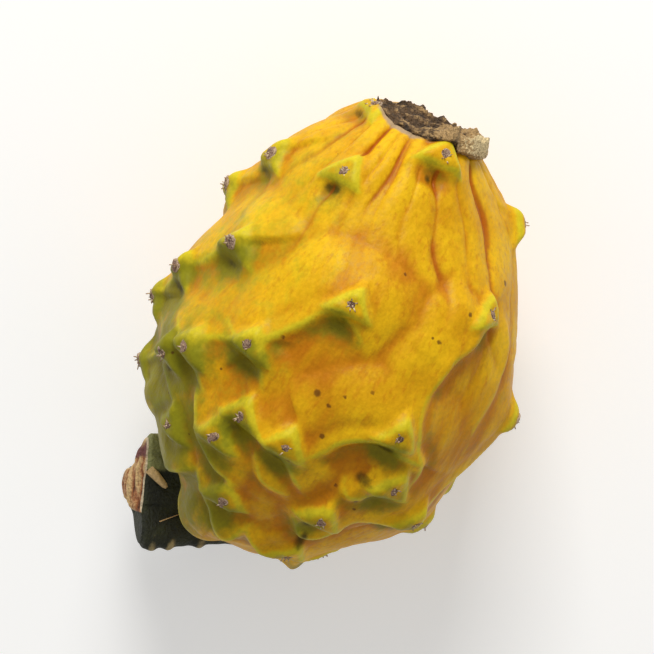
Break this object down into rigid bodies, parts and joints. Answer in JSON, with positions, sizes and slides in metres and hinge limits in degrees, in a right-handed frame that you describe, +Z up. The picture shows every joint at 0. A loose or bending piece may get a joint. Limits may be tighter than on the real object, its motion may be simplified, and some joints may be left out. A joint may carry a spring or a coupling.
{
  "type": "yellow dragon fruit",
  "caption": "Whole yellow dragon fruit lying on its side, with bumpy skin, spine pads, dried flower remains at one end and a short stub of cactus stem at the other.",
  "frame": {"origin": "centre of the whole part's footprint box, on the surface that the fruit rests on", "axes": "+X along the fruit towards the flower end, +Z up from the surface it lies on, +Y to the left when looking along +X"},
  "size_m": [0.1108, 0.0792, 0.0748],
  "materials": {
    "skin": "golden-yellow fruit skin, satin, turning green at the bump tips and the stem end, with brown specks",
    "areole_felt": "grey-pink felt pad with short dark spine stubs",
    "dried_flower": "dry, crumbly dark-brown and cream flower tissue",
    "cactus_stem": "dark-green waxy cactus stem, its cut face tan, brown and fibrous"
  },
  "bodies": {
    "root": {"fruit": "skin", "areole_01": "areole_felt", "areole_02": "areole_felt", "areole_03": "areole_felt", "areole_04": "areole_felt", "areole_05": "areole_felt", "areole_06": "areole_felt", "areole_07": "areole_felt", "areole_08": "areole_felt", "areole_09": "areole_felt", "areole_10": "areole_felt", "areole_11": "areole_felt", "areole_12": "areole_felt", "areole_13": "areole_felt", "areole_14": "areole_felt", "areole_15": "areole_felt", "areole_16": "areole_felt", "areole_17": "areole_felt", "areole_18": "areole_felt", "areole_19": "areole_felt", "areole_20": "areole_felt", "areole_21": "areole_felt", "areole_22": "areole_felt", "areole_23": "areole_felt", "areole_24": "areole_felt", "areole_25": "areole_felt", "areole_26": "areole_felt", "areole_27": "areole_felt", "areole_28": "areole_felt", "areole_29": "areole_felt", "areole_30": "areole_felt", "areole_31": "areole_felt", "areole_32": "areole_felt", "areole_33": "areole_felt", "areole_34": "areole_felt", "areole_35": "areole_felt", "areole_36": "areole_felt", "areole_37": "areole_felt", "areole_38": "areole_felt", "areole_39": "areole_felt", "areole_40": "areole_felt", "areole_41": "areole_felt", "areole_42": "areole_felt", "areole_43": "areole_felt", "areole_44": "areole_felt", "flower_remnant": "dried_flower", "stem_stub": "cactus_stem"}
  },
  "joints": []
}
